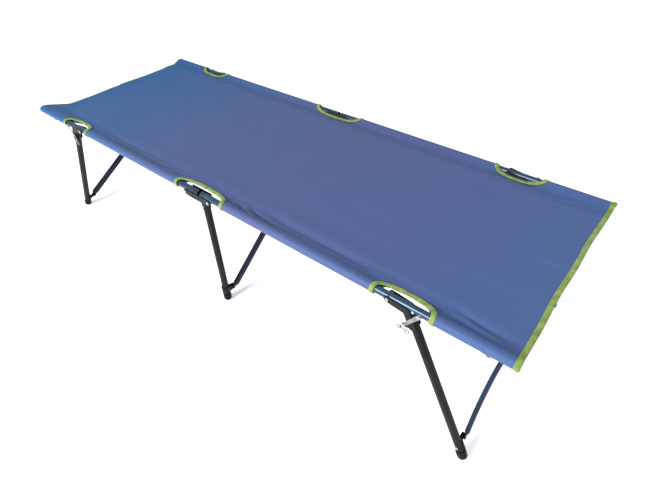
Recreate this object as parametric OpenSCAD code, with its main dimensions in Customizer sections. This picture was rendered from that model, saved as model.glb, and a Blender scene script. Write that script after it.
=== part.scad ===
// Folding camp cot: six legs, two jointed side rails, crossed end braces and a
// blue fabric bed. Millimetres, +Z up. The origin is on the floor under the
// middle of the bed, +X runs along the bed and -Y is the near side.

/* [Bed] */
// Height of the side rail's centre line above the floor
rail_z = 428; // [380:1:470]
// Distance of each side rail's centre line from the middle
rail_y = 326; // [280:1:360]
// Distance from the middle of the bed to each rail's outer end
rail_end = 940; // [850:1:1000]
// Distance from the middle of the bed to each end hem
deck_end = 946; // [855:1:1006]
// Thickness of the fabric
fabric_t = 1.6; // [0.8:0.1:2.5]

/* [Tubes] */
// Outside diameter of the side rails
rail_d = 19; // [16:0.5:25]
// Outside diameter of the legs
leg_d = 21.5; // [18:0.5:28]
// Wall of the round tubes
tube_wall = 1.2; // [0.8:0.1:2]
// Thickness of the flat oval braces
brace_t = 13; // [10:0.5:18]
// Width of the flat oval braces
brace_w = 25; // [18:0.5:30]

/* [Hinge stations] */
// Middle of the bed to the right rails' centre hinge
hinge_right = 43; // [30:1:70]
// Middle of the bed to the left rails' centre hinge
hinge_left = 57; // [30:1:90]
// Centre legs' position along the bed
mid_x = 16; // [-20:1:30]
// Height of the rails' centre hinges
pivot_z = 420; // [410:1:422]
// Middle of the bed to the end legs' hinge
leg_pivot_x = 651; // [600:1:700]
// Middle of the bed to the end legs' feet
foot_x = 909; // [860:1:940]
// Outward lean of the end legs
leg_lean = 26.3; // [15:0.1:32]
// Height of the leg's upper end
leg_top_z = 409; // [390:1:414]
// Middle of the bed to the brace swivels
swivel_x = 885; // [850:1:910]
// Height of the brace swivels
swivel_z = 405; // [395:1:410]
// Distance of each brace swivel's rivet from the middle
swivel_y = 300; // [280:1:302]
// Height of the ears near the feet
ear_z = 40; // [35:1:60]
// Distance of each ear's rivet from the middle
ear_y = 298; // [270:1:300]
// Height of the centre struts' joint
strut_top_z = 285; // [220:1:300]

/* [Hidden] */
wall_gap = 10.8;
plate_t = 2;
plate_y = wall_gap + plate_t;
lug_y = 10.3;
pin_r = 3;
run = 0.05;
ear_r = 5.6;
side = 7.5;
hook_x = 733;
hook_in = 13.4;
hook_out = 15.4;
peg = [701, 380];
end_gap = 21;
hook_lean = atan2(hook_x - peg[0], rail_z - peg[1]);
leg_len = leg_top_z / cos(leg_lean);
leg_top_x = foot_x - leg_len * sin(leg_lean);
ear_run = (leg_top_z - ear_z) / cos(leg_lean);
brace_dy = swivel_y + ear_y;
brace_dz = swivel_z - ear_z;
brace_len = norm([brace_dy, brace_dz]);
brace_lean = atan2(brace_dy, brace_dz);
strut_dz = strut_top_z - ear_z;
strut_len = norm([ear_y, strut_dz]);
strut_lean = atan2(ear_y, strut_dz);
deck_z = 431;
cut_mid = 98;
cut_in = 610;
cut_out = 758;
cut_deep = 40;
sleeve_r = 11.4;
$fn = 48;

paint = [0.20, 0.21, 0.23];
navy = [0.12, 0.14, 0.24];
steel = [0.72, 0.73, 0.75];
black = [0.07, 0.07, 0.08];
blue = [0.30, 0.38, 0.60];

module at_corner(sx, sy) {
    if (sx < 0 && sy < 0) {
        rotate([0, 0, 180]) children();
    } else if (sx < 0) {
        mirror([1, 0, 0]) children();
    } else if (sy < 0) {
        mirror([0, 1, 0]) children();
    } else {
        children();
    }
}

module ycyl(r, y0, y1) {
    translate([0, y1, 0]) rotate([90, 0, 0]) cylinder(r = r, h = y1 - y0);
}

module xcyl(r, x0, x1) {
    translate([x0, 0, 0]) rotate([0, 90, 0]) cylinder(r = r, h = x1 - x0);
}

// A flat plate standing in the X-Z plane between y0 and y1.
module side_plate(y0, y1) {
    translate([0, y1, 0]) rotate([90, 0, 0]) linear_extrude(height = y1 - y0) children();
}

// ---- side rails: outer end +X, outward +Y -------------------------------

module lug(x, z) {
    translate([x, rail_y, z]) ycyl(7, -lug_y, lug_y);
    translate([x - 7, rail_y - lug_y, z]) cube([14, 2 * lug_y, rail_z - z - 6]);
}

// The brace swivel's lug stands on the rail's inboard side.
module swivel_lug() {
    translate([swivel_x, rail_y, swivel_z]) ycyl(7, -lug_y, -5);
    translate([swivel_x - 7, rail_y - lug_y, swivel_z]) cube([14, lug_y - 5, rail_z - swivel_z - 3]);
}

module rail_half(hinge_x) {
    difference() {
        union() {
            translate([0, rail_y, rail_z]) xcyl(rail_d / 2, 5, rail_end);
            lug(hinge_x, pivot_z);
            translate([leg_pivot_x, rail_y, rail_z]) ycyl(7, -lug_y, lug_y);
            swivel_lug();
        }
        translate([0, rail_y, rail_z]) xcyl(rail_d / 2 - tube_wall, 4, rail_end + 1);
        translate([hinge_x, rail_y, pivot_z]) ycyl(pin_r + run, -20, 20);
        translate([leg_pivot_x, rail_y, rail_z]) ycyl(pin_r + run, -20, 20);
        translate([swivel_x, rail_y, swivel_z]) ycyl(pin_r + 0.02, -20, 0);
        translate([hook_x, rail_y, rail_z]) ycyl(pin_r + 0.02, 5, 20);
        translate([hook_x - 17, rail_y, rail_z]) ycyl(1.82, 5, 20);
    }
}

module rail_studs() {
    translate([swivel_x, rail_y, swivel_z]) ycyl(pin_r, -20.4, -5.2);
    translate([hook_x, rail_y, rail_z]) {
        ycyl(pin_r, 7, 17.3);
        ycyl(4.6, 10, hook_in - 0.3);
        ycyl(4.6, hook_out + 0.4, 17.4);
    }
    translate([hook_x - 17, rail_y, rail_z]) {
        ycyl(1.8, 7, 11);
        ycyl(3.6, 9.9, 11.4);
    }
}

module sleeve_pair() {
    difference() {
        for (x = [[cut_mid, cut_in], [cut_out, deck_end]]) {
            translate([0, rail_y, rail_z]) xcyl(sleeve_r, x[0], x[1]);
        }
        translate([0, rail_y, rail_z]) xcyl(rail_d / 2 + 0.1, cut_mid - 1, deck_end + 1);
        translate([swivel_x - 14, rail_y - 20, rail_z - 20]) cube([28, 40, 18]);
    }
}

// ---- end legs: outward +X and +Y ----------------------------------------

module on_leg() {
    translate([leg_top_x, rail_y, leg_top_z]) rotate([0, -leg_lean, 0]) children();
}

module end_leg() {
    on_leg() difference() {
        translate([0, 0, 15 - leg_len]) cylinder(r = leg_d / 2, h = leg_len - 15);
        translate([0, 0, 14 - leg_len]) cylinder(r = leg_d / 2 - tube_wall, h = leg_len);
        for (s = [16, ear_run]) {
            translate([0, 0, -s]) ycyl(2.52, -20, 20);
        }
    }
}

// A bar with round ends from a to b in the plane of the plate.
module bar(a, b, w) {
    run_ab = norm(b - a);
    translate(a) rotate(atan2(b[1] - a[1], b[0] - a[0])) {
        circle(d = w);
        translate([0, -w / 2]) square([run_ab, w]);
        translate([run_ab, 0]) circle(d = w);
    }
}

function leg_at(s) = [leg_top_x + s * sin(leg_lean), leg_top_z - s * cos(leg_lean)];

module boomerang() {
    bar([leg_pivot_x, rail_z], leg_at(-14), 17);
    bar(leg_at(-14), leg_at(30), 17);
}

module boomerang_holes() {
    translate([leg_pivot_x, rail_z]) circle(r = pin_r + 0.02);
    translate(leg_at(16)) circle(r = 2.52);
}

module leg_bracket() {
    translate([0, rail_y, 0]) {
        side_plate(-plate_y, -wall_gap) difference() {
            boomerang();
            boomerang_holes();
        }
        side_plate(wall_gap, plate_y) difference() {
            union() {
                boomerang();
                bar(peg, leg_at(28), 12);
            }
            boomerang_holes();
            translate(peg) circle(r = pin_r + 0.02);
        }
    }
    on_leg() translate([-9, -wall_gap - 0.1, 0.5]) cube([18, 2 * wall_gap + 0.2, 1.6]);
}

module leg_rivets() {
    translate([leg_pivot_x, rail_y, rail_z]) {
        ycyl(pin_r, -14, 14);
        ycyl(4.6, plate_y, plate_y + 1.8);
        ycyl(4.6, -plate_y - 1.8, -plate_y);
    }
    on_leg() {
        translate([0, 0, -16]) ycyl(2.5, -plate_y, plate_y);
        translate([0, 0, -ear_run]) {
            ycyl(2.5, 4, 12);
            ycyl(3.8, leg_d / 2 + 0.1, 12.2);
        }
    }
    translate([peg[0], rail_y, peg[1]]) {
        ycyl(pin_r, wall_gap, 17.3);
        ycyl(4.6, hook_out + 0.4, 17.4);
    }
}

module foot_cup(r) {
    difference() {
        union() {
            cylinder(r = r, h = 16);
            translate([0, 0, 16]) cylinder(r1 = r, r2 = r - 1.4, h = 2);
            sphere(r = r);
        }
        translate([0, 0, 4]) cylinder(r = leg_d / 2 + 0.05, h = 60);
    }
}

module end_foot() {
    intersection() {
        on_leg() translate([0, 0, 11 - leg_len]) foot_cup(13.4);
        translate([foot_x - 60, rail_y - 60, 0]) cube([120, 120, 80]);
    }
}

// The hub is cut away at x = clear_x, where the brace's end passes on its way.
module end_hub(ear_x, clear_x) {
    leg_x = leg_top_x + ear_run * sin(leg_lean);
    difference() {
        union() {
            intersection() {
                on_leg() translate([0, 0, -ear_run - 13]) cylinder(r = 14.2, h = 26);
                translate([foot_x - 60, rail_y - 40, 0]) cube([clear_x - foot_x + 60, 38, 90]);
            }
            hull() {
                translate([ear_x, 0, ear_z]) ycyl(7.5, 311.6, rail_y + 2);
                translate([min(ear_x + 8, leg_x), 0, ear_z]) ycyl(7.5, 317, rail_y + 2);
            }
            translate([ear_x, 0, ear_z]) ycyl(ear_r, ear_y - 8.4, 313);
        }
        on_leg() translate([0, 0, -leg_len]) cylinder(r = leg_d / 2 + 0.05, h = leg_len);
    }
}

// ---- brace swivels, braces and hooks -------------------------------------

module brace_swivel(side_x) {
    head = side_x > 0 ? [side + 2, side + 3.4] : [-side - 3.4, -side - 2];
    difference() {
        translate([swivel_x, 0, swivel_z]) ycyl(ear_r, swivel_y - 8.4, rail_y - lug_y - 0.6);
        translate([swivel_x, 0, swivel_z]) ycyl(pin_r + run, rail_y - 20.8, rail_y);
    }
    translate([swivel_x, swivel_y, swivel_z]) {
        xcyl(2.5, min(0, head[0]), max(0, head[1]));
        xcyl(4.5, head[0], head[1]);
    }
}

module oval(t, w) {
    for (y = [-1, 1]) {
        translate([0, y * (w - t) / 2]) circle(d = t);
    }
    square([t, w - t], center = true);
}

// A flattened tube end; the hole is at the origin and the tube runs to -Z.
module flat_end() {
    xcyl(5.5, -1.5, 1.5);
    translate([-1.5, -5.5, -7]) cube([3, 11, 7]);
    translate([-1.5, -8.5, -end_gap - 6]) cube([3, 17, end_gap]);
    translate([0, 0, -end_gap - 9]) linear_extrude(height = 9) oval(brace_t, brace_w);
}

// The small hole is the drain near one end.
module flat_tube(len) {
    difference() {
        translate([0, 0, end_gap + 8 - len]) linear_extrude(height = len - 2 * end_gap - 16) difference() {
            oval(brace_t, brace_w);
            oval(brace_t - 2, brace_w - 2);
        }
        translate([0, 0, end_gap + 24 - len]) ycyl(1.6, 0, 20);
    }
}

module end_brace(side_x) {
    translate([swivel_x + side_x * side, swivel_y, swivel_z]) rotate([-brace_lean, 0, 0]) {
        difference() {
            flat_end();
            xcyl(2.5 + run, -5, 5);
        }
        flat_tube(brace_len);
        translate([0, 0, -brace_len]) rotate([180, 0, 0]) flat_end();
        translate([0, 0, -brace_len]) xcyl(4.5, 1.4, 2.8);
    }
}

module hook_outline() {
    bar([0, 0], [1.5, -46], 11);
    bar([1.5, -46], [6.6, -51], 5.4);
    bar([6.6, -51], [6.6, -67], 5.4);
    bar([6.6, -67], [7.6, -76], 5.4);
    translate([7.6, -76]) circle(r = 4.8);
}

module lock_hook() {
    translate([hook_x, rail_y, rail_z]) rotate([0, hook_lean, 0]) {
        side_plate(hook_in, hook_out) difference() {
            hook_outline();
            circle(r = pin_r + run);
            translate([7.6, -76]) circle(r = 2.6);
        }
    }
}

// ---- centre legs: outward +Y ---------------------------------------------

module mid_leg() {
    translate([mid_x, rail_y, 0]) difference() {
        translate([0, 0, 14]) cylinder(r = leg_d / 2, h = 391);
        translate([0, 0, 13]) cylinder(r = leg_d / 2 - tube_wall, h = 400);
        translate([0, 0, 396]) ycyl(2.52, -20, 20);
    }
}

module mid_bracket() {
    translate([0, rail_y, 0]) {
        for (y = [-plate_y, wall_gap]) {
            side_plate(y, y + plate_t) difference() {
                union() {
                    bar([-hinge_left, pivot_z], [hinge_right, pivot_z], 17);
                    if (y < 0) {
                        translate([8 - hinge_left, pivot_z]) square([hinge_left + hinge_right - 16, 16]);
                    }
                }
                for (x = [-hinge_left, hinge_right]) {
                    translate([x, pivot_z]) circle(r = pin_r + 0.02);
                }
            }
        }
        translate([12 - hinge_left, -plate_y, 409.6]) cube([hinge_left + hinge_right - 24, 2 * plate_y, 3.4]);
        translate([mid_x, 0, 388]) difference() {
            cylinder(r = plate_y, h = 22);
            translate([0, 0, -1]) cylinder(r = leg_d / 2 + 0.05, h = 18.5);
            translate([0, 0, 8]) ycyl(2.52, -20, 20);
        }
    }
}

module mid_rivets() {
    for (x = [-hinge_left, hinge_right]) {
        translate([x, rail_y, pivot_z]) {
            ycyl(pin_r, -14, 14);
            ycyl(4.6, plate_y, plate_y + 1.8);
            ycyl(4.6, -plate_y - 1.8, -plate_y);
        }
    }
    translate([mid_x, rail_y, 396]) ycyl(2.5, -plate_y, plate_y);
}

module mid_foot() {
    translate([mid_x, rail_y, 0]) intersection() {
        translate([0, 0, 10]) foot_cup(13.4);
        translate([-30, -30, 0]) cube([60, 60, 60]);
    }
}

module mid_hub() {
    difference() {
        union() {
            translate([mid_x, rail_y, 38]) cylinder(r = 14.2, h = 22);
            translate([mid_x - 6.1, ear_y, ear_z]) xcyl(9, 0, 12.2);
            translate([mid_x - 6.1, ear_y, ear_z - 9]) cube([12.2, rail_y - ear_y - 8, 18]);
        }
        translate([mid_x, rail_y, 0]) cylinder(r = leg_d / 2 + 0.05, h = 100);
        translate([0, ear_y, ear_z]) xcyl(pin_r + 0.02, 0, 40);
    }
}

module strut_pin(side_x) {
    x = mid_x + side_x * 8;
    out = side_x > 0 ? [x + 1.9, x + 3.3] : [x - 3.3, x - 1.9];
    back = side_x > 0 ? mid_x - 6.1 : mid_x + 6.1;
    translate([0, ear_y, ear_z]) {
        xcyl(pin_r, min(back, out[0]), max(back, out[1]));
        xcyl(5, out[0], out[1]);
    }
}

module mid_strut(side_x) {
    translate([mid_x + side_x * 8, ear_y, ear_z]) rotate([strut_lean, 0, 0]) {
        difference() {
            rotate([180, 0, 0]) flat_end();
            xcyl(pin_r + run, -5, 5);
        }
        translate([0, 0, strut_len]) flat_tube(strut_len);
        translate([0, 0, strut_len]) flat_end();
        translate([0, 0, strut_len]) {
            xcyl(4.5, min(side_x * 1.4, side_x * 2.8), max(side_x * 1.4, side_x * 2.8));
        }
    }
}

// ---- fabric ----------------------------------------------------------------

module deck_half() {
    deck_y = rail_y - sleeve_r - 0.7;
    difference() {
        translate([0.3, -deck_y, deck_z]) cube([deck_end - 0.3, 2 * deck_y, fabric_t]);
        for (y = [-deck_y - 10, deck_y - cut_deep + 11]) {
            translate([-1, y, deck_z - 5]) cube([cut_mid + 1, cut_deep - 1, 12]);
            translate([cut_in, y, deck_z - 5]) cube([cut_out - cut_in, cut_deep - 1, 12]);
        }
    }
}

// ---- named pieces ------------------------------------------------------------

module near_left_rail() { color(navy) at_corner(-1, -1) rail_half(hinge_left); }
module near_right_rail() { color(navy) at_corner(1, -1) rail_half(hinge_right); }
module far_left_rail() { color(navy) at_corner(-1, 1) rail_half(hinge_left); }
module far_right_rail() { color(navy) at_corner(1, 1) rail_half(hinge_right); }
module near_left_rail_studs() { color(steel) at_corner(-1, -1) rail_studs(); }
module near_right_rail_studs() { color(steel) at_corner(1, -1) rail_studs(); }
module far_left_rail_studs() { color(steel) at_corner(-1, 1) rail_studs(); }
module far_right_rail_studs() { color(steel) at_corner(1, 1) rail_studs(); }
module near_left_sleeve() { color(blue) at_corner(-1, -1) sleeve_pair(); }
module near_right_sleeve() { color(blue) at_corner(1, -1) sleeve_pair(); }
module far_left_sleeve() { color(blue) at_corner(-1, 1) sleeve_pair(); }
module far_right_sleeve() { color(blue) at_corner(1, 1) sleeve_pair(); }
module deck_left() { color(blue) at_corner(-1, 1) deck_half(); }
module deck_right() { color(blue) deck_half(); }

module near_left_leg() { color(paint) at_corner(-1, -1) end_leg(); }
module near_right_leg() { color(paint) at_corner(1, -1) end_leg(); }
module far_left_leg() { color(paint) at_corner(-1, 1) end_leg(); }
module far_right_leg() { color(paint) at_corner(1, 1) end_leg(); }
module near_left_leg_bracket() { color(paint) at_corner(-1, -1) leg_bracket(); }
module near_right_leg_bracket() { color(paint) at_corner(1, -1) leg_bracket(); }
module far_left_leg_bracket() { color(paint) at_corner(-1, 1) leg_bracket(); }
module far_right_leg_bracket() { color(paint) at_corner(1, 1) leg_bracket(); }
module near_left_leg_rivets() { color(steel) at_corner(-1, -1) leg_rivets(); }
module near_right_leg_rivets() { color(steel) at_corner(1, -1) leg_rivets(); }
module far_left_leg_rivets() { color(steel) at_corner(-1, 1) leg_rivets(); }
module far_right_leg_rivets() { color(steel) at_corner(1, 1) leg_rivets(); }
module near_left_foot() { color(black) at_corner(-1, -1) end_foot(); }
module near_right_foot() { color(black) at_corner(1, -1) end_foot(); }
module far_left_foot() { color(black) at_corner(-1, 1) end_foot(); }
module far_right_foot() { color(black) at_corner(1, 1) end_foot(); }
module near_left_hub() { color(black) at_corner(-1, -1) end_hub(swivel_x, foot_x + 60); }
module near_right_hub() { color(black) at_corner(1, -1) end_hub(swivel_x, foot_x + 60); }
module far_left_hub() { color(black) at_corner(-1, 1) end_hub(swivel_x - 2 * side, 886); }
module far_right_hub() { color(black) at_corner(1, 1) end_hub(swivel_x - 2 * side, 886); }

module near_left_swivel() { color(steel) at_corner(-1, -1) brace_swivel(-1); }
module near_right_swivel() { color(steel) at_corner(1, -1) brace_swivel(-1); }
module far_left_swivel() { color(steel) at_corner(-1, 1) brace_swivel(1); }
module far_right_swivel() { color(steel) at_corner(1, 1) brace_swivel(1); }
module near_left_brace() { color(paint) at_corner(-1, -1) end_brace(-1); }
module near_right_brace() { color(paint) at_corner(1, -1) end_brace(-1); }
module far_left_brace() { color(paint) at_corner(-1, 1) end_brace(1); }
module far_right_brace() { color(paint) at_corner(1, 1) end_brace(1); }
module near_left_hook() { color(steel) at_corner(-1, -1) lock_hook(); }
module near_right_hook() { color(steel) at_corner(1, -1) lock_hook(); }
module far_left_hook() { color(steel) at_corner(-1, 1) lock_hook(); }
module far_right_hook() { color(steel) at_corner(1, 1) lock_hook(); }

module near_mid_leg() { color(paint) at_corner(1, -1) mid_leg(); }
module far_mid_leg() { color(paint) mid_leg(); }
module near_mid_bracket() { color(paint) at_corner(1, -1) mid_bracket(); }
module far_mid_bracket() { color(paint) mid_bracket(); }
module near_mid_foot() { color(black) at_corner(1, -1) mid_foot(); }
module far_mid_foot() { color(black) mid_foot(); }
module near_mid_hub() { color(black) at_corner(1, -1) mid_hub(); }
module far_mid_hub() { color(black) mid_hub(); }
module near_mid_strut() { color(paint) at_corner(1, -1) mid_strut(1); }
module far_mid_strut() { color(paint) mid_strut(-1); }

module near_mid_rivets() {
    color(steel) at_corner(1, -1) {
        mid_rivets();
        strut_pin(1);
    }
}

module far_mid_rivets() {
    color(steel) {
        mid_rivets();
        strut_pin(-1);
    }
}

module strut_spacer() {
    color(steel) translate([mid_x - 6.1, 0, strut_top_z]) xcyl(4.6, 0, 12.5);
}

near_left_rail();
near_right_rail();
far_left_rail();
far_right_rail();
near_left_rail_studs();
near_right_rail_studs();
far_left_rail_studs();
far_right_rail_studs();
near_left_sleeve();
near_right_sleeve();
far_left_sleeve();
far_right_sleeve();
deck_left();
deck_right();
near_left_leg();
near_right_leg();
far_left_leg();
far_right_leg();
near_left_leg_bracket();
near_right_leg_bracket();
far_left_leg_bracket();
far_right_leg_bracket();
near_left_leg_rivets();
near_right_leg_rivets();
far_left_leg_rivets();
far_right_leg_rivets();
near_left_foot();
near_right_foot();
far_left_foot();
far_right_foot();
near_left_hub();
near_right_hub();
far_left_hub();
far_right_hub();
near_left_swivel();
near_right_swivel();
far_left_swivel();
far_right_swivel();
near_left_brace();
near_right_brace();
far_left_brace();
far_right_brace();
near_left_hook();
near_right_hook();
far_left_hook();
far_right_hook();
near_mid_leg();
far_mid_leg();
near_mid_bracket();
far_mid_bracket();
near_mid_rivets();
far_mid_rivets();
near_mid_foot();
far_mid_foot();
near_mid_hub();
far_mid_hub();
near_mid_strut();
far_mid_strut();
strut_spacer();
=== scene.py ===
"""Folding camp cot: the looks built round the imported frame, in metres, +X along the bed, -Y the near side."""

import math

import bpy
from mathutils import Euler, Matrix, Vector, noise


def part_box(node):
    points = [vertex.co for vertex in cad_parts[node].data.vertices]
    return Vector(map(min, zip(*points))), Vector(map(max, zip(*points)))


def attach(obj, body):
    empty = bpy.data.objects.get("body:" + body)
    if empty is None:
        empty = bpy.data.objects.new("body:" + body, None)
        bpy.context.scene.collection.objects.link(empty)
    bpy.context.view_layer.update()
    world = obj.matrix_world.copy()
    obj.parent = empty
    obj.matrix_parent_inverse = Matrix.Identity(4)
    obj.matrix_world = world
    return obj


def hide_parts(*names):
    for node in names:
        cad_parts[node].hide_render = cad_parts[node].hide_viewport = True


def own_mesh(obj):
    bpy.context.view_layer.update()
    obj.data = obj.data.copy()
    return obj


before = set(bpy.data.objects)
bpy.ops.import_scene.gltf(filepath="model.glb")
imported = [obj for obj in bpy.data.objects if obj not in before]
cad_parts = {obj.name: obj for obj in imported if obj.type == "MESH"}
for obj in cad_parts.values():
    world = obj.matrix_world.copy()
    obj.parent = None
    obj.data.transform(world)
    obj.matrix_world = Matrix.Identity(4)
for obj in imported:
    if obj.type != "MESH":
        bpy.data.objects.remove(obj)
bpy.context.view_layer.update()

SIDES = (("near", -1), ("far", 1))
ENDS = (("left", -1), ("right", 1))
CORNERS = [(f"{side}_{end}", sy, sx) for side, sy in SIDES for end, sx in ENDS]

# ---- sizes ------------------------------------------------------------------------------

sleeve_lo, sleeve_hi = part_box("far_right_sleeve")
swivel_lo, swivel_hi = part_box("far_right_swivel")

RAIL_Y = (sleeve_lo.y + sleeve_hi.y) / 2
RAIL_Z = (sleeve_lo.z + sleeve_hi.z) / 2
SLEEVE_R = (sleeve_hi.z - sleeve_lo.z) / 2 + 0.0004  # the cloth lies just outside the CAD sleeve
OUT_Y = RAIL_Y + SLEEVE_R
END_X = sleeve_hi.x + 0.003  # how far the end hem reaches
SLOT_X = (swivel_lo.x + swivel_hi.x) / 2 - 0.003  # where the swivel's lug comes through the sleeve

CUT_DEPTH = 0.037  # how far a cut-out reaches in from the side
SEAM_DEPTH = 0.064  # the sleeve's stitching, from the side
CUTS = {1: (0.684, 0.072), -1: (0.690, 0.066)}  # the end cut-outs, right and left: middle and half length
MID_X = -0.0035  # the centre cut-outs' middle
MID_HALF = 0.0955  # and their half length
ROUND = 2.7  # the power of a cut-out's rounded outline, which 2 would make an ellipse
# the deck halves lap at the middle, each so far past it that they meet in a ridge when the rails are folded
LAP = {1: 0.057, -1: 0.043}
LAP_DROP = 0.0010  # the lapped cloth lies this far below the other half
LAP_EASE = 0.012

DECK_Y = OUT_Y - CUT_DEPTH
DECK_STEP = (0.0052, 0.0042)  # the deck's mesh, along and across


# ---- materials --------------------------------------------------------------------------


class Shader:
    """One procedural material; every texture runs on the piece's own coordinates."""

    def __init__(self, name, colour, roughness, metallic=0.0):
        self.material = bpy.data.materials.new(name)
        self.material.use_nodes = True
        self.tree = self.material.node_tree
        self.bsdf = self.tree.nodes["Principled BSDF"]
        self.bsdf.inputs["Base Color"].default_value = (*colour, 1)
        self.bsdf.inputs["Roughness"].default_value = roughness
        self.bsdf.inputs["Metallic"].default_value = metallic
        self.coords = self.tree.nodes.new("ShaderNodeTexCoord").outputs["Object"]

    def set(self, **values):
        for key, value in values.items():
            self.bsdf.inputs[key.replace("_", " ")].default_value = value
        return self

    def noise(self, scale, detail=3.0, stretch=(1, 1, 1)):
        mapping = self.tree.nodes.new("ShaderNodeMapping")
        mapping.inputs["Scale"].default_value = stretch
        tex = self.tree.nodes.new("ShaderNodeTexNoise")
        tex.inputs["Scale"].default_value = scale
        tex.inputs["Detail"].default_value = detail
        self.tree.links.new(self.coords, mapping.inputs["Vector"])
        self.tree.links.new(mapping.outputs["Vector"], tex.inputs["Vector"])
        return tex.outputs["Fac"]

    def axis(self, letter):
        split = self.tree.nodes.new("ShaderNodeSeparateXYZ")
        self.tree.links.new(self.coords, split.inputs[0])
        return split.outputs[letter]

    def wave(self, scale, direction):
        tex = self.tree.nodes.new("ShaderNodeTexWave")
        tex.bands_direction = direction
        tex.inputs["Scale"].default_value = scale
        self.tree.links.new(self.coords, tex.inputs["Vector"])
        return tex.outputs["Fac"]

    def math(self, operation, *values):
        node = self.tree.nodes.new("ShaderNodeMath")
        node.operation = operation
        for socket, value in zip(node.inputs, values):
            if isinstance(value, (int, float)):
                socket.default_value = value
            else:
                self.tree.links.new(value, socket)
        return node.outputs[0]

    def ramp(self, factor, stops):
        node = self.tree.nodes.new("ShaderNodeValToRGB")
        elements = node.color_ramp.elements
        while len(elements) < len(stops):
            elements.new(0.5)
        for element, (place, colour) in zip(elements, stops):
            element.position = place
            element.color = (*colour, 1)
        self.tree.links.new(factor, node.inputs["Fac"])
        return node.outputs["Color"]

    def multiply(self, a, b):
        node = self.tree.nodes.new("ShaderNodeMix")
        node.data_type = "RGBA"
        node.blend_type = "MULTIPLY"
        node.inputs["Factor"].default_value = 1.0
        self.tree.links.new(a, node.inputs[6])
        self.tree.links.new(b, node.inputs[7])
        return node.outputs[2]

    def colour(self, output):
        self.tree.links.new(output, self.bsdf.inputs["Base Color"])
        return self

    def rough(self, factor, low, high):
        node = self.tree.nodes.new("ShaderNodeMapRange")
        node.inputs["To Min"].default_value = low
        node.inputs["To Max"].default_value = high
        self.tree.links.new(factor, node.inputs["Value"])
        self.tree.links.new(node.outputs["Result"], self.bsdf.inputs["Roughness"])
        return self

    def bump(self, *layers):
        """layers are (height, strength, distance in metres), the coarsest first."""
        normal = None
        for height, strength, distance in layers:
            node = self.tree.nodes.new("ShaderNodeBump")
            node.inputs["Strength"].default_value = strength
            node.inputs["Distance"].default_value = distance
            self.tree.links.new(height, node.inputs["Height"])
            if normal is not None:
                self.tree.links.new(normal, node.inputs["Normal"])
            normal = node.outputs["Normal"]
        self.tree.links.new(normal, self.bsdf.inputs["Normal"])
        return self


def fabric_material():
    """Polyester: its colour drifts from blue to purple along the bed, a painted sheen tint with random tone on
    it; the sleeve's doubled cloth, from the seam out, is darkened as painted shade, and the cloth over the
    rail's crest is lightened as a painted highlight.
    """
    s = Shader("blue_polyester", (0.055, 0.085, 0.21), 0.5)
    s.set(Specular_IOR_Level=0.14, Sheen_Weight=0.03, Sheen_Roughness=0.4)
    s.set(Sheen_Tint=(0.65, 0.72, 1.0, 1))
    # a painted sheen tint: bluer towards the ends and more purple in the middle along X, with noise adding
    # random tone
    along = s.math("MULTIPLY_ADD", s.axis("X"), 0.45, 0.5)
    sheen_tint_and_tone = s.math("ADD", along, s.math("MULTIPLY", s.noise(2.2, 3.0), 0.16))
    sheen_tint_stops = [
        (0.16, (0.014, 0.085, 0.232)),
        (0.42, (0.053, 0.088, 0.210)),
        (0.66, (0.066, 0.086, 0.206)),
        (0.98, (0.055, 0.099, 0.243)),
    ]
    # painted shade on the sleeve band between the seam and the rail, and a painted highlight over the rail's
    # crest
    sleeve_shade_and_crest_highlight = [
        (0.269, (1, 1, 1)),
        (0.2745, (0.86, 0.87, 0.88)),
        (0.298, (0.88, 0.89, 0.90)),
        (0.331, (1.06, 1.06, 1.05)),
    ]
    from_middle = s.math("ABSOLUTE", s.axis("Y"))
    s.colour(s.multiply(s.ramp(sheen_tint_and_tone, sheen_tint_stops), s.ramp(from_middle, sleeve_shade_and_crest_highlight)))
    s.rough(s.noise(9.0, 4.0), 0.42, 0.58)
    threads = 620.0
    weave = s.math("MULTIPLY", s.wave(threads, "X"), s.wave(threads, "Y"))
    s.bump((s.noise(38.0, 3.0), 0.10, 0.004), (weave, 0.10, 0.0004))
    return s.material


def binding_material():
    s = Shader("lime_binding", (0.20, 0.29, 0.07), 0.7)
    s.set(Specular_IOR_Level=0.2, Sheen_Weight=0.05)
    s.colour(s.ramp(s.noise(60.0, 5.0), [(0.32, (0.125, 0.205, 0.040)), (0.68, (0.245, 0.330, 0.095))]))
    ribs = 430.0
    s.bump((s.math("ADD", s.wave(ribs, "X"), s.wave(ribs, "Y")), 0.25, 0.0004))
    return s.material


def thread_material():
    s = Shader("stitch_thread", (0.11, 0.15, 0.33), 0.6)
    s.colour(s.ramp(s.noise(300.0, 2.0), [(0.3, (0.085, 0.12, 0.28)), (0.7, (0.15, 0.19, 0.40))]))
    return s.material


def paint_material(name, dark, light, gloss, rough=(0.36, 0.5), metallic=0.0):
    s = Shader(name, light, rough[0], metallic)
    s.set(Specular_IOR_Level=gloss)
    s.colour(s.ramp(s.noise(14.0, 5.0), [(0.35, dark), (0.68, light)]))
    s.rough(s.noise(70.0, 4.0), *rough)
    s.bump((s.noise(900.0, 2.0), 0.06, 0.0004))
    return s.material


def steel_material(name, dark, light):
    s = Shader(name, light, 0.35, 0.35)
    s.colour(s.ramp(s.noise(90.0, 5.0), [(0.3, dark), (0.65, light)]))
    s.rough(s.noise(240.0, 4.0, (1, 1, 6)), 0.35, 0.5)
    s.bump((s.noise(700.0, 2.0), 0.05, 0.0003))
    return s.material


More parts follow.
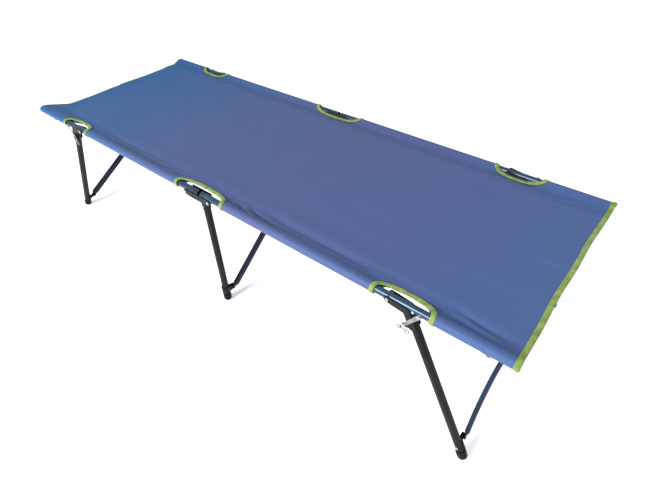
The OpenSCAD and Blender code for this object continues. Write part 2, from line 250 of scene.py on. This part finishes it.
def rivet_material():
    """Bright rivet heads on the outer faces; the inner ends are painted over with the frame."""
    s = Shader("rivet_steel", (0.6, 0.6, 0.6), 0.35, 0.35)
    painted = [(0.318, (0.03, 0.03, 0.035)), (0.322, (1, 1, 1))]
    outer = s.ramp(s.math("ABSOLUTE", s.axis("Y")), painted)
    worn = s.ramp(s.noise(90.0, 5.0), [(0.3, (0.26, 0.26, 0.27)), (0.65, (0.42, 0.42, 0.44))])
    s.colour(s.multiply(worn, outer))
    s.rough(s.noise(240.0, 4.0), 0.3, 0.45)
    return s.material


def rubber_material(name, colour, rough):
    s = Shader(name, colour, rough)
    s.set(Specular_IOR_Level=0.12)
    pale = tuple(2.2 * c + 0.004 for c in colour)
    s.colour(s.ramp(s.noise(60.0, 5.0), [(0.4, colour), (0.85, pale)]))
    s.rough(s.noise(150.0, 3.0), rough - 0.08, rough + 0.08)
    s.bump((s.noise(600.0, 3.0), 0.12, 0.0004))
    return s.material


def floor_material():
    s = Shader("pale_floor", (0.93, 0.93, 0.93), 0.9)
    s.set(Specular_IOR_Level=0.0, Emission_Color=(1, 1, 1, 1), Emission_Strength=0.36)
    s.colour(s.ramp(s.noise(0.4, 2.0), [(0.3, (0.925, 0.925, 0.93)), (0.7, (0.94, 0.94, 0.94))]))
    return s.material


FABRIC = fabric_material()
LIME = binding_material()
THREAD = thread_material()
LEG_PAINT = paint_material("leg_powder_coat", (0.006, 0.008, 0.008), (0.013, 0.016, 0.0155), 0.12)
BRACE_PAINT = paint_material(
    "brace_powder_coat", (0.005, 0.008, 0.017), (0.010, 0.017, 0.038), 0.2, rough=(0.3, 0.42)
)
# the right braces' coat: the same dark brace paint, made lighter and bluer as a painted blue reflection
BRACE_PAINTED_REFLECTION = paint_material(
    "brace_coat_painted_blue_reflection", (0.011, 0.024, 0.052), (0.022, 0.048, 0.100), 0.4, rough=(0.28, 0.38)
)
RAIL_PAINT = paint_material(
    "rail_blue_steel", (0.014, 0.034, 0.068), (0.028, 0.068, 0.118), 0.5, rough=(0.26, 0.36), metallic=0.4
)
ZINC = steel_material("zinc_plate", (0.15, 0.155, 0.155), (0.26, 0.265, 0.26))
HEAD = steel_material("head_steel", (0.20, 0.20, 0.21), (0.32, 0.32, 0.34))
RIVET = rivet_material()
RUBBER = rubber_material("foot_rubber", (0.003, 0.003, 0.0035), 0.5)
PLASTIC = rubber_material("hub_plastic", (0.005, 0.0055, 0.007), 0.42)


# ---- helpers ----------------------------------------------------------------------------


def smoothstep(t):
    t = min(1.0, max(0.0, t))
    return t * t * (3 - 2 * t)


def bell(t):
    return math.exp(-(t**2))


def power(value, exponent):
    """value to a power with its sign kept, which squares up the outline of an oval."""
    return math.copysign(abs(value) ** exponent, value)


def steps(a, b, size):
    """Even steps of about this size from a to b."""
    count = max(2, int(round(abs(b - a) / size)) + 1)
    return [a + (b - a) * i / (count - 1) for i in range(count)]


def turns(count):
    """Angles all the way round, without the last."""
    return [2 * math.pi * i / count for i in range(count)]


def tangent(path, i):
    return (path[min(i + 1, len(path) - 1)] - path[max(i - 1, 0)]).normalized()


def add_mesh(name, points, faces, material, smooth=True):
    mesh = bpy.data.meshes.new(name)
    mesh.from_pydata([tuple(p) for p in points], [], faces)
    mesh.validate()
    mesh.update()
    if smooth:
        mesh.polygons.foreach_set("use_smooth", [True] * len(mesh.polygons))
    obj = bpy.data.objects.new(name, mesh)
    bpy.context.scene.collection.objects.link(obj)
    mesh.materials.append(material)
    return obj


def skin(name, rows, material, closed=False, flip=False):
    """A sheet over rows of points, each as long as the first; closed joins up each row and caps both ends."""
    n = len(rows[0])
    faces = []
    for j in range(len(rows) - 1):
        for i in range(n if closed else n - 1):
            k = (i + 1) % n
            quad = (j * n + i, j * n + k, (j + 1) * n + k, (j + 1) * n + i)
            faces.append(quad[::-1] if flip else quad)
    if closed:
        faces.append(tuple(range(n))[::-1])
        faces.append(tuple(range(n * (len(rows) - 1), n * len(rows))))
    return add_mesh(name, [p for row in rows for p in row], faces, material)


def sweep(name, path, outline, frames, material):
    """Sweeps outline, a closed list of (a, b), along path; frames gives the two axes at each point."""
    rows = []
    for point, (a_axis, b_axis) in zip(path, frames):
        rows.append([Vector(point) + a * a_axis + b * b_axis for a, b in outline])
    return skin(name, rows, material, closed=True)


# ---- the fabric's shape -----------------------------------------------------------------

TROUGH = 0.0115  # how far the cloth falls beside a rail
TROUGH_WAVE = 0.0015
TROUGH_WIDE = 0.034
HANG = 0.015  # how far its middle hangs
ACROSS_FROM = 0.046  # where it leaves the trough, from the side
ACROSS_RUN = 0.20
END_REACH = 0.15  # how far from the hem the ends' own dips reach
SWELL = (0.0022, 0.085, 0.022)  # the swell beside the trough: height, depth from the side and width
SEAM_RIDGE = (0.0008, SEAM_DEPTH, 0.0020)
HEM_HOLLOW = 0.005
HEM_WAVE = 0.0012

# at each end and side: how much deeper the hem dips beside the rail, how far its middle hangs, and
# how wide the dip is
END_DIP = {
    (-1, -1): (0.014, 0.020, 0.110),
    (-1, 1): (0.003, 0.018, 0.050),
    (1, -1): (0.007, 0.016, 0.045),
    (1, 1): (0.002, 0.014, 0.045),
}
# each crease: start x, length, depth where it starts, depth where it ends, width, height
CREASES = (
    (0.112, 0.115, 0.062, 0.023, 0.0050, -0.0042),
    (0.130, 0.120, 0.071, 0.033, 0.0065, 0.0026),
    (0.156, 0.150, 0.060, 0.034, 0.0060, -0.0050),
    (0.205, 0.400, 0.066, 0.056, 0.0085, -0.0042),
    (0.764, 0.170, 0.082, 0.062, 0.0080, -0.0046),
    (0.772, 0.165, 0.060, 0.031, 0.0070, -0.0044),
    (0.790, 0.150, 0.072, 0.047, 0.0080, 0.0028),
    (0.600, -0.220, 0.050, 0.060, 0.0090, -0.0022),
)
FAR_CREASE = 0.5  # the creases are weaker on the far side
LEFT_CREASE = 0.45  # and on the left
RIPPLES = ((0.0010, 5.0, 16.0, 3.7), (0.0005, 2.2, 34.0, 9.1))  # height, noise scales in X and Y, and seed


def cut_half_at(depth, half):
    """Half the length of a cut-out at this depth from the side."""
    t = min(1.0, max(0.0, depth / CUT_DEPTH))
    return half * (1 - t**ROUND) ** (1 / ROUND)


def hem_x(y):
    """Where the end hem runs, slightly hollow and a little uneven."""
    u = y / OUT_Y
    return END_X - HEM_HOLLOW * (1 - u * u) + HEM_WAVE * math.sin(9 * u + 1) * (1 - u**4)


def ridge(depth, height, centre, width):
    return height * bell((depth - centre) / width)


def folds(x, y):
    """Soft creases beside the rails, which start at the cut-outs and run along the bed."""
    depth = OUT_Y - abs(y)
    along = abs(x)
    weight = (1.0 if y < 0 else FAR_CREASE) * (1.0 if x > 0 else LEFT_CREASE)
    total = 0.0
    for start, length, first, last, width, height in CREASES:
        t = (along - start) / length
        if 0 < t < 1:
            fade = smoothstep(t * 4) * smoothstep((1 - t) * 2.2)
            centre = last + (first - last) * math.exp(-4.5 * t)
            total += weight * fade * ridge(depth, height, centre, width)
    for height, scale_x, scale_y, seed in RIPPLES:
        total += height * noise.noise(Vector((x * scale_x, y * scale_y, seed)))
    return total


def top_z(x, y):
    """Height of the upper side of the fabric: it falls from the rail into a trough, then crosses over."""
    depth = OUT_Y - abs(y)
    if depth < SLEEVE_R:
        return RAIL_Z + math.sqrt(max(0.0, SLEEVE_R**2 - (SLEEVE_R - depth) ** 2))
    end = bell(max(0.0, END_X - abs(x)) / END_REACH)
    dip, end_hang, end_wide = END_DIP[(1 if x > 0 else -1, 1 if y > 0 else -1)]
    trough = TROUGH + TROUGH_WAVE * math.sin(11 * x) + dip * end
    hang = HANG + (end_hang - HANG) * end
    wider = (end_wide - TROUGH_WIDE) * end
    fall = smoothstep((depth - SLEEVE_R) / (TROUGH_WIDE + wider))
    across = smoothstep((depth - ACROSS_FROM - wider) / ACROSS_RUN)
    raised = ridge(depth, *SWELL) - ridge(depth, *SEAM_RIDGE)
    drop = trough * fall * (1 - across) + hang * across - raised * fall
    return RAIL_Z + SLEEVE_R - drop + folds(x, y) * fall


def top_point(x, y):
    return Vector((x, y, top_z(x, y)))


# ---- deck -------------------------------------------------------------------------------


def ride_deck(obj, end):
    """The pieces between the rails are carried by the near rail and close up with the width fold."""
    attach(obj, f"near_{end}_rail_body")
    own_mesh(obj)


def make_deck(end, sx):
    rows = []
    for y in steps(-DECK_Y, DECK_Y, DECK_STEP[1]):
        row = []
        for t in steps(-LAP[sx], END_X, DECK_STEP[0]):
            x = t if t < 0 else t * hem_x(y) / END_X
            z = top_z(sx * x, y) - LAP_DROP * smoothstep(-t / LAP_EASE)
            row.append(Vector((sx * x, y, z)))
        rows.append(row)
    obj = skin(f"deck_cloth_{end}", rows, FABRIC, flip=sx < 0)
    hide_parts(f"deck_{end}")
    ride_deck(obj, end)
    return obj


# ---- sleeves round the rails ------------------------------------------------------------

CLOTH = 0.0016  # the sleeve's two layers of cloth where they meet


def section():
    """The sleeve's loop as (depth, kind, angle): the top flap, round the rail, the under flap."""
    loop = []
    for i in range(19):
        phi = math.radians(90 - 4.5 * i)
        depth = CUT_DEPTH * max(0.0, math.sin(phi)) ** (2 / ROUND)
        if depth > SLEEVE_R * 1.05:
            loop.append((depth, "top", 0.0))
    for depth in steps(loop[-1][0], SLEEVE_R, 0.003)[1:]:
        loop.append((depth, "top", 0.0))
    for angle in range(80, -91, -10):
        loop.append((SLEEVE_R * (1 - math.cos(math.radians(angle))), "round", math.radians(angle)))
    for depth in steps(SLEEVE_R, CUT_DEPTH, 0.0045)[1:]:
        loop.append((depth, "under", 0.0))
    return loop


def loop_z(x, y, kind, angle, depth):
    if kind == "top":
        return top_z(x, y)
    if kind == "round":
        return RAIL_Z + SLEEVE_R * math.sin(angle)
    t = smoothstep((depth - SLEEVE_R) / (CUT_DEPTH - SLEEVE_R))
    low = RAIL_Z - SLEEVE_R
    return low + (top_z(x, y) - CLOTH - low) * t


def make_sleeve(corner, sy, sx, part):
    """The inner part runs from the centre cut-out to the end one, the outer part from there to the hem."""
    cut_x, cut_half = CUTS[sx]
    count = 130 if part == "inner" else 56
    rows = []
    for depth, kind, angle in section():
        y = sy * (OUT_Y - depth)
        reach = 0.0 if angle < 0 else depth
        if part == "inner":
            first, last = sx * MID_X + cut_half_at(reach, MID_HALF), cut_x - cut_half_at(reach, cut_half)
        else:
            first, last = cut_x + cut_half_at(reach, cut_half), hem_x(y)
        row = []
        for i in range(count + 1):
            x = sx * (first + (last - first) * i / count)
            row.append(Vector((x, y, loop_z(x, y, kind, angle, depth))))
        rows.append(row)
    obj = skin(f"{corner}_sleeve_{part}", rows, FABRIC, flip=sx * sy > 0)
    return obj


# ---- bindings ---------------------------------------------------------------------------

TAPE_RISE = 0.0003  # the tapes' middle stands this far off the cloth
TAPE_OVER = 0.002  # and they reach this far past its edge
CUT_AIM = (0.012, 2.2)  # the tapes lie across lines from this depth, turned towards Y this many times
CUT_TAPE = (0.0130, 0.0034)  # width and thickness
SLOT_TAPE = (0.0045, 0.0022)
SLOT_HALF = 0.0165
SLOT_RISE = 0.0004
SLOT_ANGLES = (-92, 34)  # the slot's middle and how far it reaches round the sleeve, in degrees

# The right hem's tape lies flat; the left one is turned under, so only its edge shows from above.
HEM_WIDTH = 0.0135
HEM_THICK = {1: 0.0036, -1: 0.0024}
HEM_INTO = {1: Vector((-1, 0, 0)), -1: Vector((0.45, 0, -0.89))}
HEM_RISE = {1: TAPE_RISE, -1: -TAPE_RISE}
HEM_R = {1: SLEEVE_R + TAPE_RISE, -1: SLEEVE_R - 0.0014}


def sweep_tape(name, path, into, width, thick):
    """A folded tape along path, the cloth's edge; into points into the cloth at each point."""
    outline = []
    for t in turns(12):
        outline.append((power(math.cos(t), 0.7) * width / 2 + width / 2 - TAPE_OVER, math.sin(t) * thick / 2))
    frames = []
    for i, inward in enumerate(into):
        along = tangent(path, i)
        inward = (inward - along * inward.dot(along)).normalized()
        frames.append((inward, inward.cross(along)))
    return sweep(name, path, outline, frames, LIME)


def edge_around(x_at, sy, sx, first, last, radius):
    """Nine points along the cloth's edge round a rail, from angle first to last, in degrees."""
    points = []
    for step in range(9):
        angle = math.radians(first + (last - first) * step / 8)
        depth = SLEEVE_R - radius * math.cos(angle)
        x = x_at(depth if angle > 0 else 0.0)
        points.append(Vector((sx * x, sy * (OUT_Y - depth), RAIL_Z + radius * math.sin(angle))))
    return points


def cut_edge(sy, sx, centre, half, side):
    """One side of a cut-out's edge, from under the rail up to its inmost point."""

    def x_at(depth):
        return centre + side * cut_half_at(depth, half)

    points = edge_around(x_at, sy, sx, -65, 80, SLEEVE_R + TAPE_RISE)
    first = math.asin((SLEEVE_R * 1.15 / CUT_DEPTH) ** (ROUND / 2))
    for i in range(1, 23):
        phi = first + (math.pi / 2 - first) * i / 22
        depth = CUT_DEPTH * math.sin(phi) ** (2 / ROUND)
        x = sx * (centre + side * half * math.cos(phi) ** (2 / ROUND))
        points.append(top_point(x, sy * (OUT_Y - depth)) + Vector((0, 0, TAPE_RISE)))
    return points


def away_from(points, centre, sy, sx):
    """At each point, the direction into the cloth: away from the cut-out's middle."""
    depth, turned = CUT_AIM
    middle = Vector((sx * centre, sy * (OUT_Y - depth), RAIL_Z))
    found = []
    for p in points:
        d = p - middle
        rail_side = OUT_Y - abs(p.y) < SLEEVE_R
        found.append(Vector((d.x, 0, 0)) if rail_side else Vector((d.x, d.y * turned, 0)))
    return found


def make_cut_bindings(corner, sy, sx):
    cut_x, cut_half = CUTS[sx]
    low = cut_edge(sy, sx, cut_x, cut_half, -1)
    high = cut_edge(sy, sx, cut_x, cut_half, 1)
    whole = low + high[::-1][1:]
    half = cut_edge(sy, sx, sx * MID_X, MID_HALF, 1)
    return [
        sweep_tape(f"{corner}_cutout_binding", whole, away_from(whole, cut_x, sy, sx), *CUT_TAPE),
        sweep_tape(f"{corner}_centre_binding", half, away_from(half, sx * MID_X, sy, sx), *CUT_TAPE),
    ]


def make_slot_binding(corner, sy, sx):
    """The bound slot under the sleeve that the brace swivel's lug comes through."""
    radius = SLEEVE_R + SLOT_RISE
    middle, reach = SLOT_ANGLES
    path = []
    into = []
    for step in range(33):
        t = 2 * math.pi * step / 32
        angle = math.radians(middle + reach * math.sin(t))
        x = SLOT_X + SLOT_HALF * math.cos(t)
        y = RAIL_Y + radius * math.cos(angle)
        path.append(Vector((sx * x, sy * y, RAIL_Z + radius * math.sin(angle))))
        across = 0.6 * math.sin(t)
        into.append(Vector((sx * math.cos(t), -sy * across * math.sin(angle), across * math.cos(angle))))
    return sweep_tape(f"{corner}_slot_binding", path, into, *SLOT_TAPE)


def make_hems(end, sx):
    """The end hem's tape over the deck, and round both sleeves from under the rails."""
    lift = Vector((0, 0, HEM_RISE[sx]))
    path = [top_point(sx * hem_x(y), y) + lift for y in steps(-DECK_Y, DECK_Y, 0.006)]
    into = [HEM_INTO[sx]] * len(path)
    deck_hem = sweep_tape(f"{end}_hem_binding", path, into, HEM_WIDTH, HEM_THICK[sx])
    ride_deck(deck_hem, end)
    made = [deck_hem]
    for side, sy in SIDES:
        path = edge_around(lambda depth: hem_x(OUT_Y - depth), sy, sx, -18, 80, HEM_R[sx])
        into = [Vector((-sx, 0, 0))] * len(path)
        for depth in steps(SLEEVE_R * 1.3, CUT_DEPTH, 0.005):
            y = sy * (OUT_Y - depth)
            path.append(top_point(sx * hem_x(y), y) + lift)
            into.append(HEM_INTO[sx])
        tape = sweep_tape(f"{side}_{end}_hem_corner", path, into, HEM_WIDTH, HEM_THICK[sx])
        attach(tape, f"{side}_{end}_rail_body")
        made.append(tape)
    return made


# ---- stitching --------------------------------------------------------------------------

STITCH = 0.0034  # length of a stitch
PITCH = 0.0052
THREAD_WIDE = 0.0011
THREAD_SUNK = 0.0003  # its sides lie in the cloth
THREAD_HIGH = 0.0004
THREAD_ARCH = 0.0005  # how much higher its middle stands
HEM_SEAM = {1: 0.0165, -1: 0.008}  # the row beside the hem, from its edge
HEM_SEAM_GAP = 0.004  # what it leaves free at both sides
SEAM_OUT = 0.003  # the sleeves' rows run this far outside their seams
SEAM_GAPS = (0.004, 0.017)  # what they leave free at the middle and at the hem


def make_stitches(name, path):
    """A row of raised stitches along path, a list of points on the cloth."""
    points = []
    faces = []
    travelled = 0.0
    for a, b in zip(path, path[1:]):
        run = (b - a).length
        along = (b - a).normalized()
        across = Vector((0, 0, 1)).cross(along).normalized() * THREAD_WIDE / 2
        while travelled < run:
            n = len(points)
            for t, half, rise in ((0, 0.5, 0.0), (0.5, 1.0, THREAD_ARCH), (1, 0.5, 0.0)):
                middle = a + along * travelled + along * STITCH * t
                points.append(middle + across * half + Vector((0, 0, rise - THREAD_SUNK)))
                points.append(middle + Vector((0, 0, rise + THREAD_HIGH)))
                points.append(middle - across * half + Vector((0, 0, rise - THREAD_SUNK)))
            for k in (n, n + 3):
                faces += [(k, k + 3, k + 4, k + 1), (k + 1, k + 4, k + 5, k + 2), (k + 2, k + 5, k + 3, k)]
            faces += [(n, n + 1, n + 2), (n + 8, n + 7, n + 6)]
            travelled += PITCH
        travelled -= run
    return add_mesh(name, points, faces, THREAD)


def make_seams(end, sx):
    """Each sleeve's seam, and the row beside the end hem."""
    rows = {}
    for side, sy in SIDES:
        y = sy * (OUT_Y - SEAM_DEPTH + SEAM_OUT)
        along = steps(SEAM_GAPS[0], END_X - SEAM_GAPS[1], PITCH)
        rows[f"{side}_{end}_seam_stitches"] = [top_point(sx * x, y) for x in along]
    across = steps(-DECK_Y + HEM_SEAM_GAP, DECK_Y - HEM_SEAM_GAP, PITCH)
    rows[f"{end}_hem_stitches"] = [top_point(sx * (hem_x(y) - HEM_SEAM[sx]), y) for y in across]
    made = []
    for name, path in rows.items():
        obj = make_stitches(name, path)
        ride_deck(obj, end)
        made.append(obj)
    return made


decks = {end: make_deck(end, sx) for end, sx in ENDS}
trims = {end: make_hems(end, sx) + make_seams(end, sx) for end, sx in ENDS}
for corner, sy, sx in CORNERS:
    skins = [make_sleeve(corner, sy, sx, part) for part in ("inner", "outer")]
    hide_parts(f"{corner}_sleeve")
    for piece in skins + make_cut_bindings(corner, sy, sx) + [make_slot_binding(corner, sy, sx)]:
        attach(piece, f"{corner}_rail_body")
        trims[corner.split("_")[1]].append(piece)

# ---- braces and struts ------------------------------------------------------------------

OVAL = (0.013, 0.025)  # thickness and width of the oval tube
FLAT = 0.0015  # half the thickness of its pressed ends
FLAT_END = (0.003, 0.016)  # where the flat ends and the full oval starts, from the pivot
END_R = 0.0065  # the flat ends are round, this far past the pivot
BOX_END = 0.0055  # how far the CAD tubes reach past the pivot
HEAD_SIZE = (0.0045, 0.0022)  # radius and height of the rivet heads at the lower ends
HEAD_AT = 0.0014  # and how far their flat sides are from the tube's middle
BENT = {"far_right_brace": -0.010}  # one brace is bent, towards the middle of the bed


def dome(name, centre, direction, radius, height):
    """A low round rivet head with its flat side at centre."""
    a_axis = direction.orthogonal().normalized()
    b_axis = direction.cross(a_axis)
    rows = []
    for rise, size in ((0.0, 0.94), (0.25, 1.0), (0.55, 0.86), (0.82, 0.58), (1.0, 0.2)):
        middle = centre + direction * height * rise
        row = [middle + (a_axis * math.cos(t) + b_axis * math.sin(t)) * radius * size for t in turns(20)]
        rows.append(row)
    return skin(name, rows, HEAD, closed=True)


def bend(u):
    """A bent lower half: 0 at the pivot, 1 at a quarter of the tube, and 0 from its middle on."""
    v = min(1.0, max(0.0, 2 * u))
    return 4 * v * (1 - v) if v < 0.5 else 0.5 * (1 + math.cos(math.pi * (2 * v - 1)))


def pressed_tube(name, a, b, bow, material):
    """A tube of oval section from pivot a to pivot b, pressed flat at both; bow is its bend in X."""
    length = (b - a).length
    along = (b - a) / length
    wide_axis = along.cross(Vector((1, 0, 0))).normalized()
    thick, width = OVAL
    # the sections stand close together over both ends
    ends = [-END_R * math.cos(math.radians(q)) for q in range(6, 91, 12)]
    ends += [0.002 + 0.0016 * i for i in range(12)]
    rows = []
    for d in ends + steps(0.030, length - 0.030, 0.012) + [length - d for d in reversed(ends)]:
        from_end = min(d, length - d)
        press = smoothstep((from_end - FLAT_END[0]) / (FLAT_END[1] - FLAT_END[0]))
        half_wide = END_R + (width / 2 - END_R) * press
        if from_end < 0:
            half_wide = math.sqrt(max(1e-8, END_R**2 - from_end * from_end))
        half_thick = min(FLAT + (thick / 2 - FLAT) * press, half_wide)
        middle = a + along * d + Vector((bow * bend(d / length), 0, 0))
        row = []
        for t in turns(28):
            flank = half_wide - half_thick if math.cos(t) > 0 else half_thick - half_wide
            across = flank + half_thick * math.cos(t)
            row.append(middle + wide_axis * across + Vector((half_thick * math.sin(t), 0, 0)))
        rows.append(row)
    return skin(name, rows, material, closed=True)


def pivots(node, rising):
    """The two pivots of a brace from its box; rising is the sign of Y that its upper end leans to."""
    lo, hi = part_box(node)
    x = (lo.x + hi.x) / 2
    low_y, high_y = (lo.y + BOX_END, hi.y - BOX_END) if rising > 0 else (hi.y - BOX_END, lo.y + BOX_END)
    return Vector((x, low_y, lo.z + BOX_END)), Vector((x, high_y, hi.z - BOX_END))


def make_brace(node, body, rising, material):
    low, high = pivots(node, rising)
    obj = pressed_tube(f"{node}_tube", low, high, BENT.get(node, 0.0), material)
    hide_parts(node)
    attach(obj, body)
    for tag, sign in (("a", 1), ("b", -1)):
        face = low + Vector((sign * HEAD_AT, 0, 0))
        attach(dome(f"{node}_head_{tag}", face, Vector((sign, 0, 0)), *HEAD_SIZE), body)


for side, sy in SIDES:
    make_brace(f"{side}_left_brace", f"{side}_left_brace_body", sy, BRACE_PAINT)
    # the right braces take the coat with the painted blue reflection
    make_brace(f"{side}_right_brace", f"{side}_right_brace_body", sy, BRACE_PAINTED_REFLECTION)
    make_brace(f"{side}_mid_strut", f"{side}_strut_body", -sy, BRACE_PAINT)

# ---- locking hooks ----------------------------------------------------------------------

HOOK_R = 0.0055  # half the bar's width, and its round end past the pivot
HOOK_TAPER = 0.0012
HOOK_FLAT = 0.0011  # half the bar's thickness
HOOK_TIP = (-0.031, -0.045)  # the bar's lower end, from the pivot, as all places below
WIRE_R = 0.0011
EYE_R = 0.0050
EYES = ((-0.042, -0.056, 60, -400), (-0.021, -0.061, 150, -380))  # place, first angle and turn in degrees
WIRE_START = ((-0.026, -0.036), (-0.032, -0.045))
WIRE_END = (-0.022, -0.044)
WIRE_OUT = (0.0020, 0.0024)  # how far the wire lies outside the bar, where it starts and at its eyes
WIRE_PITCH = 0.0001  # and how much further at each point of an eye


def make_hook_bar(corner, start, end):
    """A flat bar with rounded edges, round at its pivot end."""
    length = (end - start).length
    along = (end - start) / length
    wide_axis = along.cross(Vector((0, 1, 0)))
    rows = []
    for d in [-HOOK_R * math.cos(math.radians(q)) for q in range(6, 91, 12)] + steps(0.002, length, 0.006):
        half = HOOK_R - HOOK_TAPER * smoothstep(d / length)
        if d < 0:
            half = math.sqrt(max(1e-8, HOOK_R**2 - d * d))
        row = []
        for t in turns(20):
            face = Vector((0, power(math.sin(t), 0.6) * HOOK_FLAT, 0))
            row.append(start + along * d + wide_axis * power(math.cos(t), 0.35) * half + face)
        rows.append(row)
    return skin(f"{corner}_hook_bar", rows, ZINC, closed=True)


def make_hook_wire(corner, path):
    """A round wire along path."""
    frames = []
    for i in range(len(path)):
        along = tangent(path, i)
        side_axis = along.cross(Vector((0, 1, 0))).normalized()
        frames.append((side_axis, along.cross(side_axis)))
    outline = [(WIRE_R * math.cos(t), WIRE_R * math.sin(t)) for t in turns(10)]
    return sweep(f"{corner}_hook_wire", path, outline, frames, ZINC)


def make_hook(corner, sy, sx):
    """The locking link: its bar, and a bent wire spring with two eyes at its lower end."""
    lo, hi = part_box(f"{corner}_hook")
    pivot = Vector((max(abs(lo.x), abs(hi.x)) - HOOK_R, (lo.y + hi.y) / 2, hi.z - HOOK_R))

    def at(x, z, out=0.0):
        return Vector((sx * (pivot.x + x), pivot.y + sy * out, pivot.z + z))

    path = [at(x, z, WIRE_OUT[0]) for x, z in WIRE_START]
    for centre_x, centre_z, first, turn in EYES:
        for i in range(25):
            t = math.radians(first + turn * i / 24)
            x, z = centre_x + EYE_R * math.cos(t), centre_z + EYE_R * math.sin(t)
            path.append(at(x, z, WIRE_OUT[1] + WIRE_PITCH * i))
    path.append(at(*WIRE_END, WIRE_OUT[1]))
    bar = make_hook_bar(corner, at(0, 0), at(*HOOK_TIP))
    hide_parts(f"{corner}_hook")
    for piece in (bar, make_hook_wire(corner, path)):
        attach(piece, f"{corner}_hook_body")


for corner, sy, sx in CORNERS:
    make_hook(corner, sy, sx)

# ---- carried-over hardware --------------------------------------------------------------

FINISHES = {
    "rail": RAIL_PAINT,
    "rivets": RIVET,
    "studs": RIVET,
    "spacer": RIVET,
    "swivel": ZINC,
    "foot": RUBBER,
    "hub": PLASTIC,
}

for name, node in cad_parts.items():
    if not node.hide_render:
        node.data.materials.clear()
        node.data.materials.append(FINISHES.get(name.split("_")[-1], LEG_PAINT))

# ---- floor, light and camera ------------------------------------------------------------

FLOOR_HALF = 30.0
WORLD_LIGHT = 0.62
# each light: place, target, size, power
LIGHTS = {
    "key": ((-0.5, -3.2, 2.3), (0.1, 0, 0.3), 1.3, 190),
    "fill": ((2.4, 2.4, 3.0), (0.3, 0, 0.3), 3.0, 34),
}
LENS = 25.193
SENSOR = 36.0
CAMERA_PLACE = (1.0027, -0.9496, 1.1815)
CAMERA_TURN = (48.879, 0.8207, 38.9306)  # degrees about X, Y and Z


def area_light(name, place, target, size, power):
    data = bpy.data.lights.new(name, "AREA")
    data.shape = "DISK"
    data.size = size
    data.energy = power
    light = bpy.data.objects.new(name, data)
    light.location = place
    direction = Vector(target) - Vector(place)
    light.rotation_euler = direction.to_track_quat("-Z", "Y").to_euler()
    bpy.context.scene.collection.objects.link(light)


def make_camera():
    data = bpy.data.cameras.new("camera")
    data.sensor_width = SENSOR
    data.lens = LENS
    camera = bpy.data.objects.new("camera", data)
    camera.location = CAMERA_PLACE
    camera.rotation_euler = Euler([math.radians(a) for a in CAMERA_TURN], "XYZ")
    bpy.context.scene.collection.objects.link(camera)
    bpy.context.scene.camera = camera


ground = [(x * FLOOR_HALF, y * FLOOR_HALF, 0) for x, y in ((-1, -1), (1, -1), (1, 1), (-1, 1))]
add_mesh("studio_floor", ground, [(0, 1, 2, 3)], floor_material(), smooth=False)
for name, setting in LIGHTS.items():
    area_light(name, *setting)
make_camera()

world = bpy.data.worlds.new("studio")
world.use_nodes = True
world.node_tree.nodes["Background"].inputs["Color"].default_value = (1.0, 1.0, 1.0, 1)
world.node_tree.nodes["Background"].inputs["Strength"].default_value = WORLD_LIGHT
bpy.context.scene.world = world
bpy.context.scene.view_settings.view_transform = "Standard"
